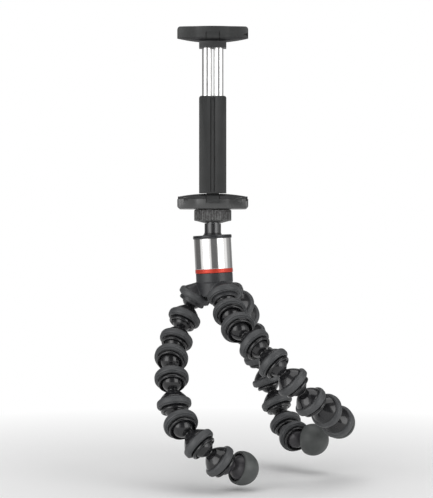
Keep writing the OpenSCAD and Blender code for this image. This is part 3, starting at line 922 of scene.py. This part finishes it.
    def build(self) -> None:
        """Makes every link and foot as a piece on its own body."""
        turn, of = self.forms.turn, self.palette.of
        link_line, ring_line = self.link_outline(), self.ring_outline(self.pitch)
        for leg in Leg:
            places = self.ball_places(leg)
            for n, here, following in zip(self.links, places, places[1:]):
                stand = turn_to(here, (following - here).normalized())
                body = f"{leg.value}_link_{n}"
                dressed(f"{body}_moulding", turn(link_line, of(LINK), stand), body, LINK, body)
                dressed(f"{body}_ring", turn(ring_line, of(RING), stand, loop=True), body, RING)
            stand = turn_to(places[-1], self.foot_heading(leg))
            body = f"{leg.value}_foot"
            for name, line, finish, node in (("dish", self.foot_core_outline(), FOOT_DISH, "core"),
                                             ("cap", self.foot_cap_outline(), FOOT_CAP, "pad")):
                mesh = turn(line, of(finish), stand, self.foot_steps)
                dressed(f"{body}_{name}", mesh, body, finish, f"{body}_{node}")


def plain_ring(radius: float, bore: float, low: float, high: float, soft: float) -> list[Point]:
    """The outline of a plain ring with softened edges, and lines beside them that keep its shading even.

    Args:
        radius: Its outer radius.
        bore: Its inner radius.
        low: Height of its foot.
        high: Height of its top.
        soft: How far its edges are softened.
    Returns:
        The outline, from the top of the bore outwards and down.
    """
    steps = ((1.0, 0.0), (0.3, 0.3), (0.0, 1.0), (0.0, 2.0), (0.0, 3.0))
    top = [(radius - soft * inwards, high - soft * along) for inwards, along in steps]
    foot = [(radius - soft * inwards, low + soft * along) for inwards, along in reversed(steps)]
    return [(bore, high), *top, *foot, (bore, low)]


@dataclass
class Head:
    """The hub and the ball head on it. Sizes in mm."""

    palette: Palette
    forms: Forms
    legs: LegSet
    ball_z: float = 77.6
    lean: float = 3.0
    socket_reach: float = 11.0
    socket_drop: float = 25.3
    splay: float = 32.0
    first_turn: float = 173.0
    ball_r: float = 7.0
    bore_r: float = 7.4
    sleeve_r: float = 9.0
    sleeve_foot: float = -11.2
    sleeve_top: float = 3.4
    sleeve_soft: float = 0.1
    accent_r: float = 9.1
    accent_h: float = 1.9
    accent_soft: float = 0.12
    collar_r: float = 9.35
    collar_top: float = 5.1
    collar_soft: float = 0.35
    mouth_r: float = 6.6
    skirt_h: float = 2.0
    throat: tuple[float, float] = (12.0, 32.0)
    stem_r: float = 4.0
    stem_top: float = 10.8
    stem_seat: float = 5.2
    stem_soft: float = 0.15
    stem_root: float = 5.5
    flare_r: float = 1.3
    flare_z: float = 6.6
    flare_end: float = 222.0
    stud_r: float = 3.225
    web_r: float = 8.7
    web_top: float = 16.5
    web_foot: float = 24.4
    web_gap: float = 0.3
    web_trim: Point = (14.0, -0.25)
    skin: float = 0.2
    blend: float = 0.5
    blend_rounds: int = 5
    steps: int = 96
    ball_steps: int = 64

    def upright(self) -> Matrix:
        """The place of the head's ball, unturned."""
        return Matrix.Translation((0, 0, self.ball_z * MM))

    def housing(self) -> Matrix:
        """The place and lean of the head's housing."""
        return self.upright() @ Matrix.Rotation(math.radians(-self.lean), 4, "Y")

    def socket_places(self) -> list[Matrix]:
        """The places of the hub's sockets, each along its own leg.

        Returns:
            The place of each socket's middle.
        """
        moved = Matrix.Translation((self.socket_reach * MM, 0, -self.socket_drop * MM))
        tipped = Matrix.Rotation(math.radians(180 - self.splay), 4, "Y")
        turns = (math.radians(self.first_turn + 360 / len(Leg) * i) for i in range(len(Leg)))
        return [self.housing() @ Matrix.Rotation(turn, 4, "Z") @ moved @ tipped for turn in turns]

    def web(self) -> Mesh:
        """The hub's three webs: its round side run straight down, trimmed clear of the sockets' rings.

        Returns:
            The trimmed webs.
        """
        nylon = self.palette.of(NYLON)
        low, high, clear = -self.web_foot, -self.web_top, self.legs.ring_r + self.web_gap
        post = self.forms.turn([(0, high), (self.web_r, high), (self.web_r, low), (0, low)], nylon,
                               self.housing(), self.steps)
        front, back = self.web_trim[0], self.web_trim[1] - self.legs.ring_w
        trim = [(0, front), (clear, front), (clear, back), (0, back)]
        return cut_away(post, [self.forms.turn(trim, nylon, place, self.ball_steps)
                               for place in self.socket_places()])

    def hub_mesh(self) -> Mesh:
        """The hub's moulding with its cones and neck run into each other, as a cast shape is.

        Returns:
            The mesh in the row frame.
        """
        mesh = evaluated(joined([welded_copy("hub_body"), self.web()]), [
            ("one skin", "REMESH", {"mode": "VOXEL", "voxel_size": self.skin * MM}),
            ("blended", "SMOOTH", {"factor": self.blend, "iterations": self.blend_rounds}),
        ])
        mesh.shade_smooth()
        return covered(mesh, self.palette.of(NYLON))

    def collar_outline(self) -> list[Point]:
        """The collar: a rim with a sunk mouth, and the skirt that holds it in the sleeve.

        Returns:
            The outline, which closes on itself.
        """
        rim = plain_ring(self.collar_r, self.mouth_r, self.sleeve_top, self.collar_top, self.collar_soft)
        skirt = self.bore_r - EASE
        return [(self.mouth_r, self.collar_top - 0.06)] + rim[1:-1] + [
            (skirt, self.sleeve_top), (skirt, self.sleeve_top - self.skirt_h)] + arc(
            (0, 0), self.ball_r + EASE, *self.throat, 6)

    def stem_outline(self) -> list[Point]:
        """The stem with its blind seat for the stud, its flared foot and the ball.

        Returns:
            The outline, which ends on the axis.
        """
        flare = arc((self.stem_r + self.flare_r, self.flare_z), self.flare_r, 180, self.flare_end, 6)
        low = math.degrees(math.asin(self.stem_root / self.ball_r))
        return [(0, self.stem_seat), (self.stud_r, self.stem_seat), (self.stud_r, self.stem_top),
                (self.stem_r - self.stem_soft, self.stem_top), (self.stem_r, self.stem_top - self.stem_soft),
                *flare, *arc((0, 0), self.ball_r, low, -90, 24)]

    def build(self) -> None:
        """Makes the hub, its rings, the housing's parts and the stem."""
        turn, of = self.forms.turn, self.palette.of
        here, up = self.housing(), self.upright()
        dressed("hub_moulding", self.hub_mesh(), "hub", NYLON, "hub_body")
        ring = self.legs.ring_outline(0)
        rings = [turn(ring, of(RING), place, loop=True) for place in self.socket_places()]
        dressed("hub_rings", joined(rings), "hub", RING, "hub_grip_rings")
        bore, foot, top = self.bore_r, self.sleeve_foot, self.sleeve_top
        accent = plain_ring(self.accent_r, bore, foot - self.accent_h, foot, self.accent_soft)
        sleeve = plain_ring(self.sleeve_r, bore, foot, top, self.sleeve_soft)
        for name, node, line, finish in (
            ("red_ring", "accent_ring", accent, RED),
            ("polished_sleeve", "head_sleeve", sleeve, CHROME),
            ("collar", "top_collar", self.collar_outline(), NYLON),
        ):
            dressed(name, turn(line, of(finish), here, self.steps, True), "hub", finish, node)
        stem = turn(self.stem_outline(), of(STEM), up, self.ball_steps)
        dressed("stem_and_ball", stem, "head_ball", STEM, "ball_stem")
        for node, finish in (("disc_springs", STEEL), ("ball_cup", BRASS), ("camera_stud", STEEL),
                             ("thread_insert", BRASS)):
            coated(node, of(finish))


@dataclass
class LockWheel:
    """The knurled wheel that locks the clamp on its stud. Sizes in mm."""

    palette: Palette
    forms: Forms
    foot_z: float = 88.6
    height: float = 6.5
    bevel_h: float = 1.1
    foot_r: float = 4.3
    core_r: float = 8.62
    outer_r: float = 9.0
    bore_r: float = 3.225
    ridges: int = 44
    ridge_w: float = 0.8
    ridge_root: float = -0.15
    steps: int = 88

    def core_outline(self) -> list[Point]:
        """The wheel's body without its ridges.

        Returns:
            The outline, which closes on itself.
        """
        top, side, foot, bore = self.height, self.core_r, self.foot_r, self.bore_r
        return [(bore, top), (side - 0.35, top), (side, top - 0.3), (side, self.bevel_h), (foot + 0.1, 0.02),
                (foot - 0.1, 0), (bore, 0)]

    def ridge(self) -> Mesh:
        """One half-round ridge with sloped ends, whose root lies on the core.

        Returns:
            The ridge, upright, with the core's side at zero.
        """
        half, rise, root = self.ridge_w / 2, self.outer_r - self.core_r, self.ridge_root
        flank = [(root, half), (rise * 0.62, half * 0.8), (rise, half * 0.35)]
        across = [(x, -y) for x, y in flank] + flank[::-1]
        levels = ((self.bevel_h - 0.1, 0.0), (self.bevel_h + 0.15, 1.0), (self.height - 0.45, 1.0),
                  (self.height - 0.1, 0.0))
        verts = [((x if x < 0 else x * full) * MM, y * MM, z * MM) for z, full in levels for x, y in across]
        count, last = len(across), len(levels) - 1
        sides = [(low + i, low + (i + 1) % count, low + count + (i + 1) % count, low + count + i)
                 for low in range(0, last * count, count) for i in range(count)]
        ends = [tuple(reversed(range(count))), tuple(range(last * count, (last + 1) * count))]
        return plain_mesh("ridge", verts, faces=sides + ends)

    def build(self) -> None:
        """Makes the wheel's core and ridges as one piece."""
        material = self.palette.of(WHEEL)
        place = Matrix.Translation((0, 0, self.foot_z * MM))
        core = self.forms.turn(self.core_outline(), material, place, self.steps, True)
        knurl = evaluated(self.ridge(), [("knurl", "NODES", {
            "node_group": self.forms.knurl, "Ridges": self.ridges, "Radius": self.core_r * MM,
            "Finish": material})])
        knurl.transform(place)
        wheel = joined([core, knurl])
        wheel.set_sharp_from_angle(angle=SHARP_TURNED)
        dressed("lock_wheel_knurled", wheel, "wheel", WHEEL, "lock_wheel")


@dataclass
class PhoneClamp:
    """The sprung clamp: jaws, a two-part spine, guide tubes, springs, pins and screws. Sizes in mm."""

    palette: Palette
    forms: Forms
    spine_y: float = -8.8
    tube_spacing: float = 5.5
    lower_pin_z: float = 107.4
    upper_pin_z: float = 173.2
    spring_r: float = 1.25
    wire_r: float = 0.2
    spring_turns: float = 90.0
    spring_eye: float = 0.7
    screw_x: float = 3.6
    screw_z: float = 104.9
    screw_y: float = -5.6
    screw_r: float = 1.1
    screw_head_h: float = 0.75
    shank_r: float = 0.6
    screw_l: float = 4.4
    point_l: float = 0.3
    recess: tuple[float, float, float] = (1.3, 0.5, 0.26)
    groove_w: float = 0.74
    groove_x: float = 0.85
    groove_depth: float = 0.52
    front_y: float = -12.0
    groove_foot: float = 103.3
    groove_run: float = 46.0
    lower_crown: Crown = Crown(98.8, 3.7)
    upper_crown: Crown = Crown(181.8, 3.4)
    screw_steps: int = 24

    def long_grooves(self) -> list[Mesh]:
        """What cuts the spine's two grooves, run down to its foot.

        Returns:
            One box for each groove.
        """
        size = (self.groove_w, 2 * self.groove_depth, self.groove_run)
        return [box(size, place) for place in mirrored(self.groove_x, self.front_y,
                                                       self.groove_foot + self.groove_run / 2)]

    def screw(self) -> Object:
        """One pan-head screw with a cross recess, lying along -Y from its head.

        Returns:
            An object that shows the screw; it is no piece of the part.
        """
        head, shank = self.screw_r, self.shank_r
        line = [(0, 0), (head - 0.25, 0), (head - 0.05, -0.18), (head, -0.4), (head, -self.screw_head_h),
                (shank, -self.screw_head_h), (shank, self.point_l - self.screw_l), (0, -self.screw_l)]
        lying = Matrix.Rotation(math.radians(-90), 4, "X")
        mesh = self.forms.turn(line, self.palette.of(STEEL), lying, self.screw_steps)
        return placed("screw", cut_away(mesh, [box(self.recess), box(self.recess[::-1])]))

    def springs(self) -> Mesh:
        """Both wound springs between the cross pins.

        Returns:
            Their mesh in the row frame.
        """
        foot = self.lower_pin_z + self.spring_eye
        length = self.upper_pin_z - self.spring_eye - foot
        return self.forms.at(mirrored(self.tube_spacing / 2, self.spine_y, foot), "winding", self.forms.coil,
                             Turns=self.spring_turns, Coil_radius=(self.spring_r - self.wire_r) * MM,
                             Wire_radius=self.wire_r * MM, Length=length * MM, Finish=self.palette.of(STEEL))

    def build(self) -> None:
        """Makes every piece of the clamp."""
        lower, upper, of = self.lower_crown, self.upper_crown, self.palette.of
        for node, body, finish, width, crown in (
            # The bottom jaw wears the lit copy of the charcoal plastic, painted a touch lighter and glossier;
            # the top jaw keeps the plain matte copy.
            ("bottom_jaw", "clamp_foot", BOTTOM_JAW_LIT_COPY, 0.6, lower), ("bottom_pad", "clamp_foot", PAD, 0.3, lower),
            ("spine_rear_shell", "clamp_spine", CHARCOAL, 0.3, None),
            ("spine_front_shell", "clamp_spine", CHARCOAL, 0.25, None),
            ("slider_block", "clamp_slider", CHARCOAL, 0.3, None),
            ("top_jaw", "clamp_top", CHARCOAL, 0.6, upper), ("top_pad", "clamp_top", PAD, 0.3, upper),
        ):
            cuts = self.long_grooves() if node == "spine_rear_shell" else ()
            mesh = softened_copy(node, of(finish), width, crown, cuts)
            dressed(f"{node}_moulded", mesh, body, finish, node)
        screw, places = self.screw(), mirrored(self.screw_x, self.screw_y, self.screw_z)
        screws = self.forms.at(places, "screws", self.forms.set_out, Part=screw, Finish=of(STEEL))
        bpy.data.objects.remove(screw)
        dressed("cross_head_screws", screws, "clamp_spine", STEEL, "spine_screws")
        springs = dressed("wound_springs", self.springs(), "clamp_spine", STEEL, "clamp_springs")
        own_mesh(springs)
        for node, finish in (("guide_tubes", TUBE), ("bottom_hinge_pin", PIN), ("top_hinge_pin", PIN),
                             ("spine_spring_pin", STEEL), ("slider_spring_pin", STEEL)):
            coated(node, of(finish))


# ---------------------------------------------------------------- studio


# Grey that a mirror sees at each heading in degrees: 0 is towards the camera, 90 to its right.
MIRROR_BANDS = ((-180, 0.5), (-140, 0.3), (-128, 0.14), (-88, 0.14), (-78, 1.0), (-16, 1.0), (-10, 0.16),
                (24, 0.16), (31, 1.0), (90, 1.0), (99, 0.42), (118, 0.36), (132, 0.2), (150, 0.24),
                (180, 0.5))


@dataclass
class Studio:
    """The pale floor, the soft lamps, the world and the camera. Sizes in metres."""

    camera_place: Place = (0.0018, -0.7, 0.076)
    lens: float = 104.55
    floor_z: float = -0.0335
    floor_reach: float = 0.6
    floor_fade: tuple[float, float] = (0.08, 0.30)
    floor_grey: float = 0.93
    fill: float = 0.42
    steep: tuple[float, float] = (0.30, 0.62)
    steep_light: float = 0.3
    aim: Place = (0.02, 0.0, 0.07)

    def camera(self) -> None:
        """Sets the camera at the photograph's angle."""
        data = bpy.data.cameras.new("camera")
        data.lens, data.sensor_width, data.sensor_fit = self.lens, 36.0, "AUTO"
        data.clip_start, data.clip_end = 0.05, 20.0
        eye = placed("camera", data)
        eye.location = self.camera_place
        eye.rotation_euler = (math.radians(90), 0, 0)
        bpy.context.scene.camera = eye

    def lamp(self, name: str, place: Place, size: tuple[float, float], watts: float) -> None:
        """Adds one soft lamp that points at the object.

        Args:
            name: Its name.
            place: Where it hangs.
            size: Its width and height.
            watts: Its power.
        """
        data = bpy.data.lights.new(name, "AREA")
        data.shape, data.size, data.size_y, data.energy = "RECTANGLE", *size, watts
        lamp = placed(name, data)
        lamp.location = place
        lamp.rotation_euler = (Vector(self.aim) - Vector(place)).to_track_quat("-Z", "Y").to_euler()

    def world(self) -> None:
        """White behind everything; mirrors see darker gaps beside the lamps; the fill light is softer."""
        made = bpy.data.worlds.new("studio")
        bpy.context.scene.world = made
        w = Wiring.cleared(made)
        ray = w.add("ShaderNodeLightPath").outputs
        aim = w.add("ShaderNodeTexCoord").outputs["Generated"]
        heading = w.add("ShaderNodeSeparateXYZ", in_0=aim).outputs
        turn = w.maths("ARCTAN2", heading["X"], w.maths("MULTIPLY", heading["Y"], -1.0))
        bands = w.add("ShaderNodeValToRGB", in_0=w.maths("ADD", w.maths("DIVIDE", turn, math.tau), 0.5))
        ramp = bands.color_ramp
        while len(ramp.elements) < len(MIRROR_BANDS):
            ramp.elements.new(0.5)
        for element, (degrees, grey) in zip(ramp.elements, MIRROR_BANDS):
            element.position, element.color = degrees / 360 + 0.5, (grey, grey, grey, 1.0)
        level_end, steep_end = self.steep
        level = w.add("ShaderNodeMapRange", in_Value=w.maths("ABSOLUTE", heading["Z"]), in_From_Min=level_end,
                      in_From_Max=steep_end, in_To_Min=1.0, in_To_Max=self.steep_light)
        mirror = w.add("ShaderNodeBackground", in_Color=bands, in_Strength=level)
        white = w.add("ShaderNodeBackground", in_Color=WHITE, in_Strength=1.0)
        soft = w.add("ShaderNodeBackground", in_Color=WHITE, in_Strength=self.fill)
        bounced = w.maths("MAXIMUM", ray["Is Glossy Ray"], ray["Is Transmission Ray"])
        shiny = w.add("ShaderNodeMixShader", in_0=bounced, in_1=soft, in_2=mirror)
        seen = w.add("ShaderNodeMixShader", in_0=ray["Is Camera Ray"], in_1=shiny, in_2=white)
        w.add("ShaderNodeOutputWorld", in_Surface=seen)

    def floor(self) -> None:
        """A pale floor that fades to white away from the object, so that only the shadow shows."""
        made = bpy.data.materials.new("pale floor")
        w = Wiring.cleared(made)
        card = w.add("ShaderNodeBsdfDiffuse", in_Color=(*[self.floor_grey] * 3, 1))
        white = w.add("ShaderNodeEmission", in_Color=WHITE, in_Strength=1.0)
        place = w.add("ShaderNodeTexCoord").outputs["Object"]
        away = w.add("ShaderNodeVectorMath", operation="LENGTH", in_0=place).outputs["Value"]
        near, far = self.floor_fade
        fade = w.add("ShaderNodeMapRange", in_Value=away, in_From_Min=near, in_From_Max=far)
        share = w.maths("MULTIPLY", fade, w.add("ShaderNodeLightPath").outputs["Is Camera Ray"])
        mix = w.add("ShaderNodeMixShader", in_0=share, in_1=card, in_2=white)
        w.add("ShaderNodeOutputMaterial", in_Surface=mix)
        reach, z = self.floor_reach, self.floor_z
        corners = [(-reach, -reach, z), (reach, -reach, z), (reach, reach, z), (-reach, reach, z)]
        plane = placed("floor", covered(plain_mesh("floor", corners, faces=[(0, 1, 2, 3)]), made))

    def build(self) -> None:
        """Sets up the whole studio."""
        bpy.context.scene.view_settings.view_transform = "Standard"
        self.camera()
        for name, place, size, watts in (
            ("left softbox", (-0.62, -0.62, 0.22), (0.55, 0.95), 3.2),
            ("right softbox", (0.66, -0.56, 0.22), (0.55, 0.95), 2.8),
            ("top softbox", (0.0, 0.05, 0.95), (0.9, 0.9), 3.0),
        ):
            self.lamp(name, place, size, watts)
        self.world()
        self.floor()


def main() -> None:
    """Builds the tripod and the studio."""
    logging.basicConfig(level=logging.INFO, format="%(message)s")
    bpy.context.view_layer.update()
    palette, forms = Palette(), Forms()
    legs = LegSet(palette, forms)
    for assembly in (legs, Head(palette, forms, legs), LockWheel(palette, forms), PhoneClamp(palette, forms),
                     Studio()):
        LOG.info("building %s", type(assembly).__name__)
        assembly.build()


if __name__ == "__main__":
    main()
